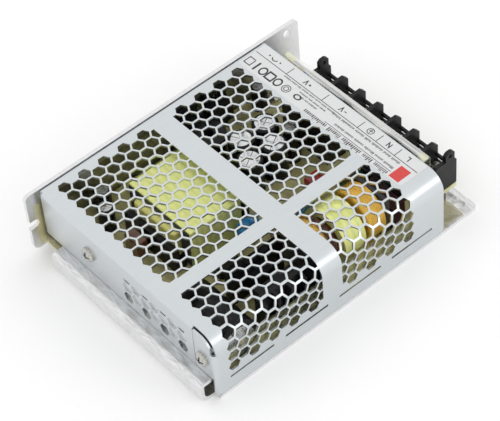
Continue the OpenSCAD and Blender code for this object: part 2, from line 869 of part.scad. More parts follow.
// Clear strip with a lip over the cover's front edge
module terminal_shield() {
    color("whitesmoke", 0.5) {
        span([shield_x, block_shift - shield_w / 2 + 4, pcb_top],
             [shield_x + shield_t, block_shift + shield_w / 2 + 4, shield_top]);
        span([shield_x - shield_lip, block_shift - shield_w / 2 + 4, shield_top - shield_t],
             [shield_x + shield_t, block_shift + shield_w / 2 + 4, shield_top]);
    }
}

// Housing of the output voltage adjuster
module trimmer_body() {
    color("royalblue")
        translate([trim_x, trim_y, pcb_top])
            difference() {
                translate([-trim_side / 2, -trim_side / 2, 0])
                    cube([trim_side, trim_side, trim_h]);
                translate([0, 0, trim_h - rotor_sink])
                    cylinder(r = rotor_r + run_gap, h = trim_h);
            }
}

// Slotted rotor of the adjuster
module trimmer_rotor() {
    color("white")
        translate([trim_x, trim_y, pcb_top + trim_h - rotor_sink + run_gap])
            difference() {
                cylinder(r = rotor_r, h = rotor_h);
                for (a = [0, 90])
                    rotate(a)
                        translate([-rotor_r * 0.8, -0.3, rotor_h - 0.7])
                            cube([rotor_r * 1.6, 0.6, 1]);
            }
}

// Round indicator lamp
module status_led() {
    body_h = 3.2;
    color("lime")
        translate([trim_x, led_y, pcb_top])
            rotate_extrude() {
                square([led_foot_r, 0.8]);
                square([led_r, body_h]);
                translate([0, body_h])
                    intersection() {
                        circle(led_r);
                        translate([0, -0.5])
                            square(led_r + 1);
                    }
            }
}

// Thin label on the plain zone of the top
module rating_label() {
    edge = 0.4;
    color("white")
        span([cover_front_x - edge - label_l, flat_y - label_w / 2, case_h],
             [cover_front_x - edge, flat_y + label_w / 2, case_h + label_t]);
}

// Ferrite core with the window that the winding passes through
module transformer_core() {
    color("dimgray")
        difference() {
            span([core_x - core_l / 2, core_y - core_w / 2 + tape_t, core_z + tape_t],
                 [core_x + core_l / 2, core_y + core_w / 2 - tape_t, pcb_top + core_h - tape_t]);
            span([core_x - core_l, core_y - core_w / 2 + core_leg, core_z + core_floor],
                 [core_x + core_l, core_y + core_w / 2 - core_leg, pcb_top + core_h - core_floor]);
        }
}

// Tape wound around the core
module transformer_tape() {
    margin = 0.3;
    color("yellowgreen")
        difference() {
            span([core_x - core_l / 2 + margin, core_y - core_w / 2, core_z],
                 [core_x + core_l / 2 - margin, core_y + core_w / 2, pcb_top + core_h]);
            span([core_x - core_l, core_y - core_w / 2 + tape_t, core_z + tape_t],
                 [core_x + core_l, core_y + core_w / 2 - tape_t, pcb_top + core_h - tape_t]);
        }
}

// Taped winding in the core's window
module transformer_winding() {
    color("gold")
        span([core_x - core_l / 2 - winding_out, core_y - core_w / 2 + core_leg + 0.3, core_z + core_floor],
             [core_x + core_l / 2 + winding_out, core_y + core_w / 2 - core_leg - 0.3,
              pcb_top + core_h - core_floor]);
}

// Pin rails of the former at both ends of the core, with upright cheeks
module transformer_bobbin() {
    gap = 0.3;
    half_w = core_w / 2 - 3;
    color("black")
        for (side = [-1, 1])
            translate([core_x, core_y, 0])
                mirror([side > 0 ? 0 : 1, 0, 0]) {
                    span([core_l / 2 + gap, -half_w, pcb_top],
                         [transformer_l / 2, half_w, core_z + core_floor]);
                    span([core_l / 2 + winding_out, -half_w, pcb_top],
                         [transformer_l / 2, half_w, pcb_top + cheek_h]);
                }
}

// Centre leg and end plates of the choke's core
module choke_core() {
    color("dimgray")
        translate([choke_x, choke_y, choke_z]) {
            translate([-choke_plate_x - 1, 0, 0])
                rotate([0, 90, 0])
                    cylinder(r = choke_leg_r, h = 2 * choke_plate_x + 2);
            for (side = [-1, 1])
                mirror([side > 0 ? 0 : 1, 0, 0])
                    span([choke_plate_x, -choke_r + 1, pcb_top - choke_z],
                         [choke_half, choke_r - 1, choke_r - 1.5]);
        }
}

// Taped middle of the choke
module choke_tape() {
    color("yellowgreen")
        translate([choke_x - choke_tape_w / 2, choke_y, choke_z])
            rotate([0, 90, 0])
                difference() {
                    cylinder(r = choke_r, h = choke_tape_w);
                    translate([0, 0, -1])
                        cylinder(r = choke_leg_r + seat_gap, h = choke_tape_w + 2);
                }
}

// Coils on both sides of the taped middle, each with a neck of bare turns
module choke_windings() {
    round_r = 1.2;
    color("darkorange")
        for (side = [-1, 1])
            translate([choke_x, choke_y, choke_z])
                mirror([side > 0 ? 0 : 1, 0, 0])
                    translate([choke_tape_w / 2, 0, 0])
                        rotate([0, 90, 0])
                            rotate_extrude()
                                difference() {
                                    union() {
                                        tile(choke_leg_r + seat_gap, choke_neck_r, 0, choke_neck_l + 1);
                                        tile(choke_leg_r + seat_gap, choke_coil_r,
                                             choke_neck_l, choke_neck_l + choke_coil_l);
                                    }
                                    corner_cut(choke_coil_r, choke_neck_l, round_r, 1, -1);
                                    corner_cut(choke_coil_r, choke_neck_l + choke_coil_l, round_r, 1, 1);
                                }
}

// Large mains capacitor lying with its end to the near wall
module bulk_capacitor() {
    wall_gap = 1.8;
    color("black")
        translate([bulk_x, pcb_near_y + wall_gap + bulk_l, pcb_top + bulk_d / 2 + seat_gap])
            rotate([90, 0, 0])
                can(bulk_d, bulk_l);
}

// Output capacitors, set in two staggered rows
module output_capacitors() {
    color("black")
        for (k = [0, 1]) {
            translate([caps_x + k * cap_step, caps_y + cap_row_y, pcb_top])
                can(out_cap_d, out_cap_h);
            translate([caps_x + k * cap_step - cap_row_x, caps_y, pcb_top])
                can(out_cap_d, out_cap_h);
        }
}

// Small capacitors beside the far wall and at the end of the output rows
module small_capacitors() {
    rail_x = core_x - transformer_l / 2;
    places = [
        [out_sink_x - 3.2 - small_cap_d / 2, caps_y + 0.9],
        [cover_front_x - 8.7, far_in - 6.5],
        [rail_x - 3.5, far_in - 13],
        [rail_x + 0.9, far_in - 5.6],
    ];
    color("black")
        for (k = [0:len(places) - 1])
            translate([places[k][0], places[k][1], pcb_top])
                can(small_cap_d, k == 0 ? out_cap_h : small_cap_h);
}

// Ceramic disc on edge, standing on two leads
module disc() {
    centre_z = disc_lift + disc_d / 2;
    translate([0, disc_t / 2, centre_z])
        rotate([90, 0, 0])
            cylinder(d = disc_d, h = disc_t);
    for (x = [-2.5, 2.5])
        span([x - 0.3, -0.3, 0], [x + 0.3, 0.3, centre_z]);
}

// Discs between the mains and output sides
module safety_capacitors() {
    color("dodgerblue") {
        translate([disc_x, disc_low_y + disc_t / 2, pcb_top])
            disc();
        translate([caps_x - 1.7, disc_y, pcb_top])
            rotate(disc_turn)
                disc();
    }
}

module snubber_capacitor() {
    color("saddlebrown")
        translate([snubber_x, core_y - 1, pcb_top])
            cube(snubber);
}

module film_capacitor() {
    color("darkred")
        translate([caps_x + 7.3, film_cap_y, pcb_top])
            cube(film_cap);
}

module mains_capacitor() {
    color("darkslategray")
        translate([mains_x, choke_y - 9, pcb_top])
            cube(mains_cap);
}

// Sleeved fuse lying across the input
module fuse() {
    color("black")
        translate([fuse_x, choke_y - 1, pcb_top + fuse_r + seat_gap])
            rotate([-90, 0, 0])
                cylinder(r = fuse_r, h = fuse_l);
}

// Inrush limiter on edge, standing on two leads
module thermistor() {
    centre_z = thermistor_lift + thermistor_d / 2;
    color("darkgreen")
        translate([mains_x + mains_cap[0] / 2, film_cap_y - 3.2, pcb_top]) {
            translate([0, 0, centre_z])
                rotate([90, 0, 0])
                    cylinder(d = thermistor_d, h = thermistor_t);
            for (x = [-2.5, 2.5])
                span([x - 0.4, -thermistor_t / 2 - 0.4, 0], [x + 0.4, 0.4 - thermistor_t / 2, centre_z]);
        }
}

// Rectifier block against the primary heat sink
module bridge_rectifier() {
    legs = 4;
    lift = 2;
    color("black")
        translate([sink_x + (sink_l - bridge[0]) / 2, sink_y + sink_t, pcb_top]) {
            span([0, 0, lift], bridge);
            for (k = [0:legs - 1])
                translate([lift + k * 4.4, 1.9, 0])
                    cube([0.8, 0.8, lift + 1]);
        }
}

// Finned plate of the rectifier and plain plate of the transistor, on the mains side
module primary_heat_sink() {
    fins = 5;
    color("black")
        translate([sink_x, sink_y, pcb_top])
            linear_extrude(sink_h) {
                tile(0, sink_l, 0, sink_t);
                translate([0, transistor_y - sink_y])
                    tile(0, sink_l, 0, sink_t);
                for (k = [0:fins - 1])
                    translate([k * (sink_l - fin_t) / (fins - 1), 0])
                        tile(0, fin_t, -fin_d, 0.5);
            }
}

// Switching transistor standing behind the rectifier
module primary_transistor() {
    translate([sink_x + sink_l / 2, transistor_y, pcb_top])
        power_package();
}

// Upright plate with fins on the output side
module output_heat_sink() {
    fins = 5;
    color("black")
        translate([out_sink_x, caps_y - out_cap_d / 2 - out_sink_back, pcb_top])
            linear_extrude(sink_h) {
                tile(0, sink_t, 0, out_sink_l);
                for (k = [0:fins - 1])
                    translate([0, k * (out_sink_l - fin_t) / (fins - 1)])
                        tile(0.5, out_sink_d, 0, fin_t);
            }
}

// Output rectifiers against the far wall
module output_diodes() {
    for (k = [0, 1])
        translate([caps_x - diode_back + k * diode_step, diode_y, pcb_top])
            power_package();
}

// Sleeved drum inductor with an open bore
module output_inductor() {
    color("black")
        translate([caps_x - inductor_back, inductor_y, pcb_top])
            difference() {
                cylinder(r = inductor_r, h = inductor_h);
                translate([0, 0, 1])
                    cylinder(r = inductor_bore, h = inductor_h);
            }
}

// Dual-in-line controller
module controller_ic() {
    legs = 4;
    color("black")
        translate([core_x - 8.5, ic_y, pcb_top]) {
            span([0, 0, 0.6], ic);
            for (k = [0:legs - 1], y = [-ic_leg_out, ic[1] - ic_leg_out])
                translate([1 + k * 2.54, y, 0])
                    cube([0.6, 2 * ic_leg_out, 2]);
        }
}

// Resistors lying on the board
module resistors() {
    places = [
        [core_x - 8.5, resistor_y],
        [core_x - 8.5, resistor_y + resistor_step],
        [core_x + transformer_l / 2, ic_y + 1.6],
    ];
    color("tan")
        for (p = places)
            translate([p[0], p[1], pcb_top + resistor_r + seat_gap])
                rotate([0, 90, 0])
                    cylinder(r = resistor_r, h = resistor_l);
}

chassis();
cover();
cover_screws();
insulation_sheet();
pcb();
pcb_screws();
terminal_block();
terminal_contacts();
terminal_shield();
for (k = [1:WAYS])
    terminal_clamp(k);
for (k = [1:WAYS])
    terminal_screw(k);
trimmer_body();
trimmer_rotor();
status_led();
rating_label();
transformer_core();
transformer_tape();
transformer_winding();
transformer_bobbin();
choke_core();
choke_tape();
choke_windings();
bulk_capacitor();
output_capacitors();
small_capacitors();
safety_capacitors();
snubber_capacitor();
film_capacitor();
mains_capacitor();
fuse();
thermistor();
bridge_rectifier();
primary_heat_sink();
primary_transistor();
output_heat_sink();
output_diodes();
output_inductor();
controller_ic();
resistors();
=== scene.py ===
"""Looks of an enclosed switching power supply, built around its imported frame.

Sizes are in mm, apart from those of the lamp and the floor. +X points to the terminals, +Y to the tall wall
of the chassis and +Z up.
"""

import json
import math
import random

import bmesh
import bpy
from mathutils import Matrix, Vector

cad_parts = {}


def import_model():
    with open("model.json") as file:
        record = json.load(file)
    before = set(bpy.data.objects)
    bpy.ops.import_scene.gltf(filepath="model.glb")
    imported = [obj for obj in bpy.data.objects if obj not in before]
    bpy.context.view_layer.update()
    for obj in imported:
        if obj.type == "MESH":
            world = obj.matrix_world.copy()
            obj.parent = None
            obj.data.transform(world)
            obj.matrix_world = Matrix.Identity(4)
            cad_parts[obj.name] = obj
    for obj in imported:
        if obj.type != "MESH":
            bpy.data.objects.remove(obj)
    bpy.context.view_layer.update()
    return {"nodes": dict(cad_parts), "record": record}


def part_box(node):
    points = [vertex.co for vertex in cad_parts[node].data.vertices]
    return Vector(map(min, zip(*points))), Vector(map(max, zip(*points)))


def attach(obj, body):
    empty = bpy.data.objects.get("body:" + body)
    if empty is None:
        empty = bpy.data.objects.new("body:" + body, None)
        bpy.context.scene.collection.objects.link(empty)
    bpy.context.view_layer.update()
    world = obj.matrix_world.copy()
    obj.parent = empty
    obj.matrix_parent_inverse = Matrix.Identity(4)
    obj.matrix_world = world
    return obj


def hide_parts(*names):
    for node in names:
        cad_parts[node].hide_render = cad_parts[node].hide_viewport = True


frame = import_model()
nodes = frame["nodes"]

MM = 0.001
SAME_PLACE = 1e-6  # vertices nearer than this, in metres, are one
CASE = "case"
SOCKETS = {
    "colour": "Base Color", "rough": "Roughness", "metal": "Metallic", "ior": "IOR",
    "coat": "Coat Weight", "coat_rough": "Coat Roughness", "clear": "Transmission Weight",
    "shine": "Specular IOR Level", "alpha": "Alpha",
}


def mm_box(node):
    """A node's lowest and highest corners in mm."""
    low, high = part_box(node)
    return low / MM, high / MM


class Surface:
    """A Principled material and the nodes that give it detail."""

    def __init__(self, name, **sockets):
        self.material = bpy.data.materials.new(name)
        self.material.use_nodes = True
        self.tree = self.material.node_tree
        self.bsdf = self.tree.nodes["Principled BSDF"]
        self.normal = None
        for key, value in sockets.items():
            self.bsdf.inputs[SOCKETS[key]].default_value = (*value, 1) if key == "colour" else value

    def add(self, kind, **values):
        """A shader node with constants or links on its inputs."""
        node = self.tree.nodes.new("ShaderNode" + kind)
        for key, value in values.items():
            if isinstance(value, bpy.types.NodeSocket):
                self.tree.links.new(value, node.inputs[key])
            else:
                node.inputs[key].default_value = value
        return node

    def feed(self, socket, name):
        """Links a socket to an input of the Principled shader."""
        self.tree.links.new(socket, self.bsdf.inputs[name])
        return self

    def place(self, stretch=(1, 1, 1)):
        """Object coordinates in mm, drawn out along each axis by its share of stretch."""
        coords = self.add("TexCoord").outputs["Object"]
        return self.add("Mapping", Vector=coords, Scale=[1 / (MM * s) for s in stretch]).outputs[0]

    def axis(self, name):
        """One object coordinate in mm."""
        return self.add("SeparateXYZ", Vector=self.place()).outputs[name]

    def noise(self, size, detail=3, stretch=(1, 1, 1)):
        """Clouds of about a size, from 0 to 1."""
        return self.add("TexNoise", Vector=self.place(stretch), Scale=1 / size, Detail=detail).outputs[0]

    def ramp(self, fac, stops):
        """Colours along fac, as (place, colour) pairs."""
        node = self.add("ValToRGB", Fac=fac)
        ends = node.color_ramp.elements
        while len(ends) < len(stops):
            ends.new(1)
        for end, (place, colour) in zip(ends, stops):
            end.position = place
            end.color = (*colour, 1)
        return node.outputs["Color"]

    def span(self, fac, low, high, start=0.3, stop=0.7):
        """fac from start to stop, carried over to low to high."""
        values = {"Value": fac, "From Min": start, "From Max": stop, "To Min": low, "To Max": high}
        return self.add("MapRange", **values).outputs[0]

    def within(self, axis, start, stop, soft=0.4, margin=12):
        """1 from start to stop along an axis, and 0 outside. Each edge takes soft to either side."""
        low, high = start - margin, stop + margin
        place = self.span(self.axis(axis), 0, 1, low, high)
        edges = zip((start - soft, start + soft, stop - soft, stop + soft), (0, 1, 1, 0))
        return self.ramp(place, [((x - low) / (high - low), (m, m, m)) for x, m in edges])

    def level(self):
        """1 on faces that look up, and 0 on upright ones."""
        normal = self.add("TexCoord").outputs["Normal"]
        return self.span(self.add("SeparateXYZ", Vector=normal).outputs["Z"], 0, 1)

    def mixed(self, fac, one, two):
        """one where fac is 0, two where it is 1."""
        return self.add("MixRGB", Fac=fac, Color1=one, Color2=two).outputs[0]

    def paint(self, socket):
        return self.feed(socket, "Base Color")

    def tint(self, fac, *stops):
        """Base colour from a ramp along fac."""
        return self.paint(self.ramp(fac, stops))

    def gloss(self, fac, low, high):
        """Roughness from low to high along fac."""
        return self.feed(self.span(fac, low, high), "Roughness")

    def rounded(self, radius):
        """Light catches on edges as if they were rounded by radius."""
        return self.set_normal(self.add("Bevel", Radius=radius * MM).outputs[0])

    def bumps(self, fac, height):
        """Relief of up to height along fac, on top of rounded edges."""
        values = {"Height": fac, "Distance": height * MM}
        if self.normal:
            values["Normal"] = self.normal
        return self.set_normal(self.add("Bump", **values).outputs[0])

    def set_normal(self, socket):
        self.normal = socket
        return self.feed(socket, "Normal")


def near(colour, share):
    """A colour made lighter or darker by a share."""
    return tuple(min(1, c * (1 + share)) for c in colour)


def sheet_metal(name, colour, rough, grain, depth, edge, top):
    """Rolled sheet with worn edges.

    Its streaks run along grain, darker by up to depth, and show most on level faces below top. Elsewhere
    the sheet is drawn a little darker as painted shade.
    """
    s = Surface(name, metal=1)
    streaks = s.noise(0.26, detail=5, stretch=grain)
    clouds = s.noise(14, detail=2)
    rolled = s.ramp(streaks, ((0.36, near(colour, -depth)), (0.6, colour)))
    # Upright faces, and every face above top, are drawn 3% darker than colour: painted shade.
    upright = s.ramp(streaks, ((0.36, near(colour, -0.04 - depth / 5)), (0.6, near(colour, -0.03))))
    s.paint(s.mixed(s.within("Z", -1, top), upright, s.mixed(s.level(), upright, rolled)))
    s.gloss(clouds, rough - 0.04, rough + 0.05)
    return s.rounded(edge).bumps(clouds, 0.02).material


def plated(name, colour, rough, dull=0.12):
    """Plated small metal with a mottle that is darker by up to dull."""
    s = Surface(name, metal=1, colour=colour, rough=rough)
    mottle = s.noise(0.7)
    s.tint(mottle, (0.35, near(colour, -dull)), (0.65, near(colour, 0.05)))
    s.gloss(mottle, rough - 0.06, rough + 0.1)
    return s.rounded(0.12).bumps(mottle, 0.006).material


def moulded(name, colour, rough, grain=0.25, relief=0.012, shine=0.5):
    """Moulded or dipped plastic with a fine grain and uneven gloss."""
    s = Surface(name, colour=colour, rough=rough, shine=shine)
    clouds = s.noise(4)
    s.tint(clouds, (0.3, near(colour, -0.15)), (0.7, near(colour, 0.15)))
    s.gloss(clouds, rough - 0.06, rough + 0.08)
    return s.rounded(0.15).bumps(s.noise(grain), relief).material


def coated(name, colour):
    """Glossy epoxy dip that sags a little between thick and thin places."""
    s = Surface(name, colour=colour, rough=0.22, coat=0.5, coat_rough=0.1)
    sag = s.noise(3)
    s.tint(sag, (0.3, near(colour, -0.25)), (0.7, near(colour, 0.15)))
    return s.rounded(0.4).bumps(sag, 0.08).material


def taped(name, colour):
    """Polyester tape, with the edges of its turns showing as faint steps."""
    s = Surface(name, colour=colour, rough=0.28, coat=0.3, coat_rough=0.15)
    turns = s.add("TexWave", Vector=s.place(), Scale=0.11, Distortion=0.6, Detail=1).outputs["Fac"]
    wrinkles = s.noise(2.2)
    s.tint(turns, (0.0, near(colour, -0.08)), (0.35, colour), (1.0, near(colour, 0.08)))
    s.gloss(wrinkles, 0.2, 0.38)
    return s.rounded(0.3).bumps(wrinkles, 0.03).material


def enamelled(name, colour, dark, start, stop):
    """Enamelled copper, painted dark from start to stop along X: painted shade beside the tape."""
    s = Surface(name, rough=0.25, coat=0.25, coat_rough=0.1, shine=0.3)
    film = s.noise(1.6)
    bare = s.ramp(film, ((0.3, near(colour, -0.1)), (0.7, near(colour, 0.05))))
    # A dark copy of the copper colour beside the tape: painted shade.
    shaded_wire = s.ramp(film, ((0.3, near(dark, -0.3)), (0.7, near(dark, 0.5))))
    s.paint(s.mixed(s.within("X", start, stop), bare, shaded_wire))
    return s.gloss(film, 0.14, 0.32).bumps(film, 0.02).material


def laminate(name, colour, cut):
    """Bare board with stained faces, darker in patches partly as painted shadow of its parts, the weave of
    its glass just showing, and paler cut edges.
    """
    s = Surface(name, rough=0.45)
    weave = s.add("TexChecker", Vector=s.place(), Scale=2.2).outputs["Fac"]
    stains_and_shadow = s.noise(6)
    # Dark patches on the faces: partly stains, partly painted shadow of the parts.
    face = s.ramp(stains_and_shadow, ((0.3, near(colour, -0.35)), (0.65, near(colour, 0.12))))
    edge = s.ramp(stains_and_shadow, ((0.3, near(cut, -0.1)), (0.65, cut)))
    s.paint(s.mixed(s.level(), edge, face))
    return s.gloss(stains_and_shadow, 0.36, 0.55).bumps(weave, 0.01).material


def film_sheet(name, colour, shaded, start, stop):
    """Thin film that shows part of what lies behind it, painted dark and patchy in the case from start to
    stop along X: painted shade and painted reflections.
    """
    s = Surface(name, rough=0.35, alpha=0.24)
    waves = s.noise(5, stretch=(1.5, 1, 1))
    # A dark patchy copy of the film inside the case: painted shade and painted reflections.
    shaded_inside = s.ramp(waves, ((0.38, near(shaded, -0.8)), (0.62, near(shaded, 0.7))))
    outside = s.ramp(waves, ((0.3, near(colour, -0.12)), (0.7, near(colour, 0.1))))
    s.paint(s.mixed(s.within("X", start, stop), outside, shaded_inside))
    return s.gloss(waves, 0.26, 0.42).bumps(waves, 0.1).material


def clear_strip(name, dull, bright, tint, start, stop):
    """Clear moulding, drawn more opaque where it lies level as painted sheen.

    It is streaked from dull grey to bright white from start to stop along Y as painted reflections, and
    tinted at its ends.
    """
    s = Surface(name, rough=0.16, coat=0.5, coat_rough=0.08)
    # More opaque on level faces, so the top reads pale: painted sheen.
    s.feed(s.span(s.level(), 0.12, 0.68, 0, 1), "Alpha")
    streaks = s.noise(0.8, detail=2, stretch=(1, 60, 1))
    # Grey and white streaks along the strip: painted reflections.
    clear = s.ramp(streaks, ((0.38, dull), (0.6, bright)))
    ends = s.ramp(streaks, ((0.38, near(tint, -0.15)), (0.6, tint)))
    s.paint(s.mixed(s.within("Y", start, stop), ends, clear))
    return s.gloss(streaks, 0.08, 0.24).rounded(0.2).bumps(streaks, 0.005).material


def lens(name, colour):
    """Tinted diffusing lamp body."""
    s = Surface(name, colour=colour, rough=0.2, clear=0.45, ior=1.5)
    cloud = s.noise(1.2)
    s.tint(cloud, (0.3, near(colour, -0.1)), (0.7, near(colour, 0.1)))
    return s.gloss(cloud, 0.15, 0.35).material


def paper(name, colour):
    """Coated label stock."""
    s = Surface(name, colour=colour, rough=0.35)
    fibre = s.noise(0.8)
    s.tint(fibre, (0.3, near(colour, -0.03)), (0.7, near(colour, 0.02)))
    return s.gloss(fibre, 0.28, 0.42).material


def ink(name, colour):
    """Printing ink, thin in places."""
    s = Surface(name, colour=colour, rough=0.5)
    wear = s.noise(0.6)
    s.tint(wear, (0.3, colour), (0.75, near(colour, 0.3)))
    return s.gloss(wear, 0.4, 0.6).material


tape_low, tape_high = mm_box("choke_tape")
cover_low, cover_high = mm_box("cover")
SHADED_WIRE_X = (tape_low.x - 5.5, tape_high.x + 2.2)  # painted shade on the choke's wire, beside its tape
CLEAR_Y = (-33.5, 32.5)  # between the tinted ends of the clear strip
LOOKS = {
    "bright_aluminium": sheet_metal(
        "chassis_aluminium", (0.86, 0.86, 0.865), rough=0.4, grain=(1, 16, 9), depth=0.36, edge=0.2, top=20,
    ),
    "zinc_steel": sheet_metal(
        "cover_steel", (0.665, 0.70, 0.715), rough=0.35, grain=(30, 1, 1), depth=0.04, edge=0.12, top=32,
    ),
    # Nickel's strong mottle, darker by up to 0.3, is partly plating tone and partly painted reflection on
    # the screw heads.
    "nickel": plated("nickel_plate", (0.60, 0.59, 0.55), 0.2, dull=0.3),
    "tinned_plate": plated("tin_plate", (0.78, 0.77, 0.74), 0.34),
    # The second colour is painted shade for the film inside the case.
    "film": film_sheet(
        "insulating_film", (0.88, 0.81, 0.42), (0.24, 0.23, 0.10), cover_low.x, cover_high.x,
    ),
    "board": laminate("board_laminate", (0.62, 0.58, 0.27), (0.76, 0.74, 0.42)),
    "black_moulding": moulded("black_plastic", (0.012, 0.012, 0.013), 0.42, shine=0.25),
    # The grey and white colours of the strip are painted reflections.
    "clear_strip": clear_strip(
        "clear_plastic", (0.42, 0.42, 0.41), (0.95, 0.95, 0.94), (0.86, 0.86, 0.66), *CLEAR_Y,
    ),
    "blue_moulding": moulded("blue_plastic", (0.05, 0.16, 0.50), 0.36),
    "white_moulding": moulded("white_plastic", (0.80, 0.80, 0.77), 0.4),
    "lamp_green": lens("lamp_lens", (0.55, 0.85, 0.45)),
    "label": paper("label_stock", (0.72, 0.725, 0.73)),
    "ferrite": moulded("ferrite", (0.05, 0.05, 0.052), 0.5, grain=0.5, relief=0.02, shine=0.35),
    "lime_tape": taped("lime_tape", (0.92, 0.98, 0.34)),
    "winding_tape": taped("winding_tape", (0.82, 0.78, 0.24)),
    # The second colour is painted shade on the wire beside the tape.
    "enamelled_copper": enamelled(
        "copper_wire", (0.90, 0.54, 0.075), (0.06, 0.012, 0.003), *SHADED_WIRE_X,
    ),
    "black_sleeve": moulded(
        "black_sleeve", (0.010, 0.010, 0.011), 0.26, grain=1.5, relief=0.02, shine=0.25,
    ),
    "blue_coating": coated("blue_epoxy", (0.03, 0.30, 0.72)),
    "brown_coating": coated("brown_epoxy", (0.16, 0.06, 0.03)),
    "red_coating": coated("red_epoxy", (0.34, 0.02, 0.02)),
    "dark_box": moulded("dark_plastic", (0.06, 0.02, 0.02), 0.4, shine=0.2),
    "green_coating": coated("green_epoxy", (0.03, 0.10, 0.05)),
    "black_sink": moulded("black_anodising", (0.010, 0.010, 0.010), 0.38, grain=0.4, shine=0.3),
    "tan_coating": coated("tan_lacquer", (0.55, 0.42, 0.22)),
}
CAN_METAL = plated("can_aluminium", (0.90, 0.905, 0.91), 0.26)
# Dark grey for the disc under the scores: painted shade in the grooves.
SCORE_SHADE = plated("score_painted_shade", (0.22, 0.22, 0.225), 0.4)
BLACK_INK = ink("black_ink", (0.02, 0.02, 0.022))
RED_INK = ink("red_ink", (0.58, 0.05, 0.045))

for part in frame["record"]["subparts"]:
    mesh = nodes[part["node"]].data
    mesh.materials.clear()
    mesh.materials.append(LOOKS[part["material_slot"]])


def soften(node, radius):
    """Rounds the edges of a solid without touching its own mesh."""
    obj = nodes[node]
    weld = obj.modifiers.new("weld", "WELD")
    weld.merge_threshold = SAME_PLACE
    bevel = obj.modifiers.new("round", "BEVEL")
    bevel.width = radius * MM
    bevel.segments = 3
    bevel.limit_method = "ANGLE"
    bevel.angle_limit = math.radians(40)
    bevel.harden_normals = True


EDGE_RADII = {
    "transformer_tape": 0.9, "transformer_winding": 1.6, "snubber_capacitor": 0.9, "film_capacitor": 1.1,
    "mains_capacitor": 0.5, "trimmer_body": 0.25,
}
for node, radius in EDGE_RADII.items():
    soften(node, radius)


def islands(node):
    """The box of each separate solid of a node, in mm."""
    bm = bmesh.new()
    bm.from_mesh(nodes[node].data)
    bmesh.ops.remove_doubles(bm, verts=bm.verts, dist=SAME_PLACE)
    left, boxes = set(bm.verts), []
    while left:
        solid, to_visit = set(), [left.pop()]
        while to_visit:
            v = to_visit.pop()
            solid.add(v)
            fresh = {e.other_vert(v) for e in v.link_edges} & left
            left -= fresh
            to_visit.extend(fresh)
        boxes.append([Vector(pick(v.co[k] for v in solid) for k in range(3)) / MM for pick in (min, max)])
    bm.free()
    return sorted(boxes, key=lambda box: tuple(box[0]))


def add_object(name, data):
    obj = bpy.data.objects.new(name, data)
    bpy.context.scene.collection.objects.link(obj)
    return obj


def piece(name, material, bm, smooth=False):
    """A mesh in mm becomes a piece of the case."""
    bmesh.ops.recalc_face_normals(bm, faces=bm.faces)
    bmesh.ops.scale(bm, vec=(MM, MM, MM), verts=bm.verts)
    mesh = bpy.data.meshes.new(name)
    bm.to_mesh(mesh)
    bm.free()
    mesh.materials.append(material)
    for face in mesh.polygons:
        face.use_smooth = smooth
    obj = add_object(name, mesh)
    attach(obj, CASE)
    return obj


def prism(bm, outline, low, high):
    """An outline in X and Y, from low to high."""
    bottom = [bm.verts.new((x, y, low)) for x, y in outline]
    top = [bm.verts.new((x, y, high)) for x, y in outline]
    bm.faces.new(bottom[::-1])
    bm.faces.new(top)
    for a in range(len(outline)):
        b = (a + 1) % len(outline)
        bm.faces.new((bottom[a], bottom[b], top[b], top[a]))
    return bottom + top


def arc(x, y, r, start, stop, steps):
    """Points on a circle about (x, y), between two angles in degrees."""
    angles = [math.radians(start + (stop - start) * k / steps) for k in range(steps + 1)]
    return [(x + r * math.cos(a), y + r * math.sin(a)) for a in angles]


def join(bm, rings):
    """Walls between neighbouring rings, and a face on each end."""
    for one, two in zip(rings, rings[1:]):
        for a in range(len(one)):
            b = (a + 1) % len(one)
            bm.faces.new((one[a], one[b], two[b], two[a]))
    bm.faces.new(rings[0][::-1])
    bm.faces.new(rings[-1])


def tube(bm, points, side_ways, radius, sides=12):
    """A round tube along points; side_ways gives one cross direction at each point."""
    turn = [2 * math.pi * s / sides for s in range(sides)]
    rings = []
    for k, (p, n) in enumerate(zip(points, side_ways)):
        along = (points[min(k + 1, len(points) - 1)] - points[max(k - 1, 0)]).normalized()
        other = along.cross(n)
        rings.append([bm.verts.new(p + radius * (math.cos(a) * n + math.sin(a) * other)) for a in turn])
    join(bm, rings)


def scored_end(metal, score_shade, d, depth):
    """Four sectors with a cross of scores between them, over a disc that shows in the scores. The disc is
    dark grey: painted shade in the grooves.

    They lie at the origin and face up, for a can of diameter d.
    """
    apart, sector_r, disc_r = 0.02 * d, 0.37 * d, 0.385 * d
    disc_top = -0.4 * depth
    made = []
    for start in (0, 90, 180, 270):
        middle = math.radians(start + 45)
        x, y = apart * math.cos(middle), apart * math.sin(middle)
        outline = [(x, y), *arc(x, y, sector_r, start, start + 90, 10)]
        made.append((metal, prism(metal, outline, -depth, 0)))
    made.append((score_shade, prism(score_shade, arc(0, 0, disc_r, 0, 350, 35), -depth, disc_top)))
    return made


def can_ends():
    """Scored aluminium ends of the standing capacitors and of the lying one."""
    metal, score_shade = bmesh.new(), bmesh.new()
    standing = Matrix.Rotation(math.radians(30), 4, "Z")
    lying = Matrix.Rotation(math.radians(90), 4, "X") @ Matrix.Rotation(math.radians(20), 4, "Z")
    ends = []
    for node in ("output_capacitors", "small_capacitors"):
        for low, high in islands(node):
            middle = (low + high) / 2
            ends.append((high.x - low.x, Matrix.Translation((middle.x, middle.y, high.z)) @ standing))
    low, high = mm_box("bulk_capacitor")
    middle = (low + high) / 2
    ends.append((high.x - low.x, Matrix.Translation((middle.x, low.y, middle.z)) @ lying))

    sunk, depth = 0.006, 0.034  # shares of a can's diameter
    for d, place in ends:
        seat = place @ Matrix.Translation((0, 0, -sunk * d))
        for bm, verts in scored_end(metal, score_shade, d, depth * d):
            bmesh.ops.transform(bm, matrix=seat, verts=verts)
    piece("can_ends", CAN_METAL, metal)
    piece("can_scores", SCORE_SHADE, score_shade)


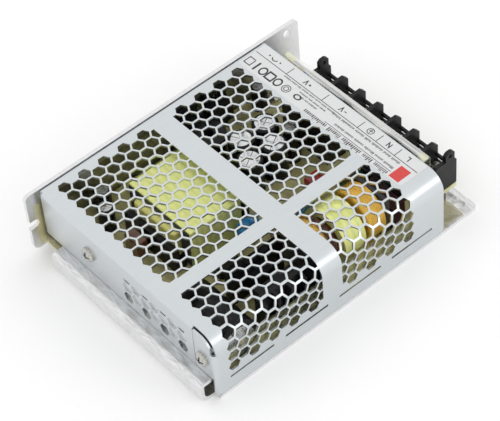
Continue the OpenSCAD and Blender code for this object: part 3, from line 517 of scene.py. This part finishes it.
def choke_wire():
    """Wire wound turn by turn over both coils of the choke, following their rounded outline."""
    turns, steps = 10, 48
    neck = 2.2  # bare length beside the tape
    sunk = 0.6  # share of the wire's radius that its middle lies below the outline
    low, high = mm_box("choke_windings")
    y, z = (low.y + high.y) / 2, (low.z + high.z) / 2
    outline = {}
    for v in nodes["choke_windings"].data.vertices:
        x = round(v.co.x / MM, 2)
        outline[x] = max(outline.get(x, 0), math.hypot(v.co.y / MM - y, v.co.z / MM - z))
    stations = sorted(outline)

    def coil_radius(x):
        after = next(k for k, s in enumerate(stations) if s >= x)
        a, b = stations[after - 1], stations[after]
        return outline[a] + (outline[b] - outline[a]) * (x - a) / (b - a)

    bm = bmesh.new()
    for start, stop in ((low.x, tape_low.x - neck), (tape_high.x + neck, high.x)):
        wire_r = (stop - start) / (turns + 1) / 2
        points, outward = [], []
        for k in range(turns * steps + 1):
            a = 2 * math.pi * k / steps
            x = start + wire_r + 2 * wire_r * k / steps
            n = Vector((0, math.cos(a), math.sin(a)))
            outward.append(n)
            points.append(Vector((x, y, z)) + (coil_radius(x) - sunk * wire_r) * n)
        tube(bm, points, outward, wire_r)
    piece("choke_wire", LOOKS["enamelled_copper"], bm, smooth=True)


def shield():
    """Clear strip before the terminals: a rounded L whose free edge wavers along its length."""
    wall, bend, stations = 0.8, 1.2, 90
    sway, sag = 0.6, 0.15  # of the free edge, sideways and down
    low, high = mm_box("terminal_shield")
    fold = arc(high.x - bend, high.z - bend, bend, 90, 0, 8)
    bm = bmesh.new()
    rings = []
    for k in range(stations + 1):
        y = low.y + (high.y - low.y) * k / stations
        wave = 0.7 * math.sin(0.21 * y + 0.6) + 0.3 * math.sin(0.53 * y)
        tip_x = low.x - sway + sway * wave
        tip_z = high.z - (sag + sag * wave)
        outline = [
            (tip_x, tip_z), *fold, (high.x, low.z), (high.x - wall, low.z),
            (high.x - wall, high.z - wall), (tip_x, tip_z - wall),
        ]
        rings.append([bm.verts.new((x, y, z)) for x, z in outline])
    join(bm, rings)
    strip = piece("shield_strip", LOOKS["clear_strip"], bm)
    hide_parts("terminal_shield")


can_ends()
choke_wire()
shield()


def polyline(points, width):
    """The outline of a stroke of constant width along points, with mitred corners."""
    left, right = [], []
    for k, p in enumerate(points):
        p = Vector(p)
        ways = []
        if k > 0:
            ways.append((p - Vector(points[k - 1])).normalized())
        if k < len(points) - 1:
            ways.append((Vector(points[k + 1]) - p).normalized())
        across = [Vector((-w.y, w.x)) for w in ways]
        m = sum(across, Vector((0, 0))).normalized()
        m *= width / 2 / m.dot(across[0])
        left.append(tuple(p + m))
        right.append(tuple(p - m))
    return left + right[::-1]


class Print:
    """Flat shapes of one ink on the label. u reads to the right, along Y, and v up, towards the rear."""

    def __init__(self, low, high):
        self.bm, self.low, self.high = bmesh.new(), low, high

    def shape(self, outline):
        prism(self.bm, [(-v, u) for u, v in outline], self.low, self.high)

    def bar(self, u0, u1, v0, v1):
        self.shape([(u0, v0), (u1, v0), (u1, v1), (u0, v1)])

    def stroke(self, u, v, size, points, width):
        """A line through points, which are shares of size from (u, v)."""
        self.shape(polyline([(u + size * a, v + size * b) for a, b in points], width))

    def ring(self, u, v, r, width, stretch=1):
        """A ring in two halves, drawn out along u by stretch."""
        for start in (0, 180):
            outer = arc(0, 0, r, start, start + 180, 16)
            inner = arc(0, 0, r - width, start + 180, start, 16)
            self.shape([(u + a * stretch, v + b) for a, b in outer + inner])

    def small_print(self, u0, u1, v, tall, seed):
        """A line of plain upright bars of uneven width, in words, in place of small print."""
        gap, space = tall * 0.22, tall * 0.5
        rng = random.Random(seed)
        u = u0
        while u < u1:
            for _ in range(rng.randint(6, 14)):
                width = tall * rng.uniform(0.14, 0.3)
                self.bar(u, u + width, v, v + tall * rng.choice((0.72, 0.72, 1)))
                u += width + gap
            u += space


LETTERS = {
    "L": [(0, 1), (0, 0), (0.6, 0)],
    "N": [(0, 0), (0, 1), (0.66, 0), (0.66, 1)],
    "V": [(0, 1), (0.36, 0), (0.72, 1)],
}


def terminal_legend(black, first, pitch, line_v):
    """Letters and signs of the seven ways, and the sign of the adjuster, in boxes under a long line."""
    size, width = 2.1, 0.4  # of the letters
    half_thin = 0.14
    divider = 3.9
    text_v = line_v - 3.1
    centre = text_v + 0.5 * size
    for way in (1, 2, 3, 5, 7):
        u = first + (way - 0.5) * pitch
        black.bar(u - half_thin, u + half_thin, line_v - divider, line_v)

    black.stroke(first - 0.6, text_v, size, LETTERS["L"], width)
    black.stroke(first + pitch - 0.7, text_v, size, LETTERS["N"], width)

    # Earth: a stem and three bars in a ring
    earth = first + 2 * pitch
    black.ring(earth, centre, 1.5, 0.3)
    black.bar(earth - half_thin, earth + half_thin, centre, centre + 0.95)
    for half, down in ((0.85, 0.1), (0.55, 0.5), (0.25, 0.9)):
        black.bar(earth - half, earth + half, centre - down - 0.12, centre - down + 0.12)

    # Minus and plus, each beside a V
    for u, plus in ((first + 3.5 * pitch, False), (first + 5.5 * pitch, True)):
        black.stroke(u + 0.3, text_v, size, LETTERS["V"], width)
        black.bar(u - 1.6, u - 0.5, centre - 0.17, centre + 0.17)
        if plus:
            for v in (centre - 0.5, centre):
                black.bar(u - 1.22, u - 0.88, v, v + 0.5)

    # Adjuster: a bow between two dots
    knob, bow_v = first + 7.4 * pitch, centre - 0.6
    black.shape(arc(knob, bow_v, 1.7, 20, 160, 12) + arc(knob, bow_v, 1.3, 160, 20, 12))
    for u in (knob - 2.9, knob + 2.9):
        black.shape(arc(u, centre, 0.36, 0, 345, 23))


def label():
    """Label stock with a terminal legend, and plain blocks and rings in place of its other print."""
    low, high = mm_box("rating_label")
    sheet_top, ink_top = low.z + 0.07, high.z
    r = 0.8
    corners = (
        (high.x - r, high.y - r, 0), (low.x + r, high.y - r, 90),
        (low.x + r, low.y + r, 180), (high.x - r, low.y + r, 270),
    )
    bm = bmesh.new()
    prism(bm, [p for x, y, a in corners for p in arc(x, y, r, a, a + 90, 5)], low.z, sheet_top)
    sheet = piece("label_sheet", LOOKS["label"], bm)
    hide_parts("rating_label")

    black, red = Print(sheet_top, ink_top), Print(sheet_top, ink_top)
    ways = sorted((start.y + stop.y) / 2 for start, stop in islands("terminal_contacts"))
    pitch = (ways[-1] - ways[0]) / (len(ways) - 1)
    first = ways[0] - 1.3
    line_v = 4.6 - high.x
    black.bar(low.y + 0.4, high.y - 0.4, line_v, line_v + 0.26)
    terminal_legend(black, first, pitch, line_v)

    # Start, end, height above the long line, size and seed of each line of small print
    middle = first + 3.55 * pitch
    for u0, u1, v, tall, seed in (
        (first + 0.6, middle, 1.0, 1.05, 3),
        (first + 0.6, middle - 4, 4.2, 1.05, 5),
        (first + 0.6, middle, 6.9, 1.9, 8),
        (middle + 0.8, middle + 25.5, 0.9, 0.7, 11),
        (middle + 4, middle + 18, 2.5, 0.7, 13),
        (middle + 7, middle + 15, 4.0, 0.7, 17),
    ):
        black.small_print(u0, u1, line_v + v, tall, seed)
    black.bar(first, middle + 0.4, line_v + 6.2, line_v + 6.4)
    red.bar(first - 5.5, first - 0.7, line_v + 1.6, line_v + 8.1)

    # Rings, squares and a bar in a row, in place of other marks. A ring has a radius, a width and a stretch
    marks_v = line_v + 5.2
    for u, ring_r, width, stretch in (
        (middle + 16.3, 1.3, 0.5, 1.4),
        (middle + 22.4, 1.9, 0.3, 1),
        (middle + 22.4, 1.1, 0.3, 1),
        (middle + 27, 2.1, 0.7, 0.85),
        (middle + 35, 2.1, 0.7, 0.85),
    ):
        black.ring(u, marks_v, ring_r, width, stretch)
    square = 3.4
    black.stroke(middle + 29.4, marks_v - 1.7, square, [(0, 0), (1, 0), (1, 1), (0, 1), (0, 0.1)], 0.7)
    black.bar(middle + 38.3, middle + 39.1, marks_v - 2.2, marks_v + 2.2)
    black.stroke(middle + 41, marks_v - 1.8, square, [(0, 0), (0.9, 0), (0.9, 1), (0, 1), (0, 0.1)], 0.4)
    piece("label_print", BLACK_INK, black.bm)
    piece("label_block", RED_INK, red.bm)


label()


# The camera of the photo, found from the lattice of hexagons in the cover
PHOTO_W = 500
FOCAL_PX = 2200
CAMERA_AT = Vector((-316.6, -416.0, 600.2)) * MM
CAMERA_AIM = Vector((-3.3, -2.0, 15.0)) * MM
CAMERA_ROLL = math.radians(-5.46)

# The stage, in metres and watts
KEY_FROM = Vector((0.40, -0.75, 0.53))
KEY_DISTANCE, KEY_SIZE, KEY_POWER = 0.9, 0.34, 0.55
WORLD_LIGHT = 1.0
FLOOR_SIZE = 12
FLOOR_GLOW = 0.03


def camera():
    """A pinhole camera that sees the part as the photo does."""
    data = bpy.data.cameras.new("camera")
    data.sensor_fit = "HORIZONTAL"
    data.lens = data.sensor_width * FOCAL_PX / PHOTO_W
    obj = add_object("camera", data)
    look = (CAMERA_AIM - CAMERA_AT).to_track_quat("-Z", "Y").to_matrix().to_4x4()
    obj.matrix_world = Matrix.Translation(CAMERA_AT) @ look @ Matrix.Rotation(CAMERA_ROLL, 4, "Z")
    bpy.context.scene.camera = obj


def key_light():
    """A soft lamp above the near side."""
    data = bpy.data.lights.new("key", "AREA")
    data.size = KEY_SIZE
    data.energy = KEY_POWER
    obj = add_object("key", data)
    way = KEY_FROM.normalized()
    look = way.to_track_quat("Z", "Y").to_matrix().to_4x4()
    obj.matrix_world = Matrix.Translation(way * KEY_DISTANCE) @ look


def world():
    """Even white light from all round."""
    made = bpy.data.worlds.new("studio")
    made.use_nodes = True
    light = made.node_tree.nodes["Background"]
    light.inputs["Color"].default_value = (1, 1, 1, 1)
    light.inputs["Strength"].default_value = WORLD_LIGHT
    bpy.context.scene.world = made


def seen_rays(tree):
    """1 for rays that show the floor: from the camera, off metal and through clear plastic."""
    path = tree.nodes.new("ShaderNodeLightPath")
    most = path.outputs["Is Camera Ray"]
    for name in ("Is Glossy Ray", "Is Transmission Ray"):
        node = tree.nodes.new("ShaderNodeMath")
        node.operation = "MAXIMUM"
        tree.links.new(most, node.inputs[0])
        tree.links.new(path.outputs[name], node.inputs[1])
        most = node.outputs[0]
    return most


def floor():
    """Pale floor, white where nothing shades it."""
    s = Surface("floor", colour=(0.98, 0.98, 0.98), rough=0.9, shine=0.0)
    s.tint(s.noise(400), (0.3, (0.975, 0.975, 0.975)), (0.7, (0.985, 0.985, 0.985)))
    s.bsdf.inputs["Emission Color"].default_value = (1, 1, 1, 1)
    s.feed(s.span(seen_rays(s.tree), 0, FLOOR_GLOW, 0, 1), "Emission Strength")
    bpy.ops.mesh.primitive_plane_add(size=FLOOR_SIZE)
    plane = bpy.context.object
    plane.name = "floor"
    plane.data.materials.append(s.material)


camera()
key_light()
world()
floor()
bpy.context.scene.view_settings.view_transform = "Standard"
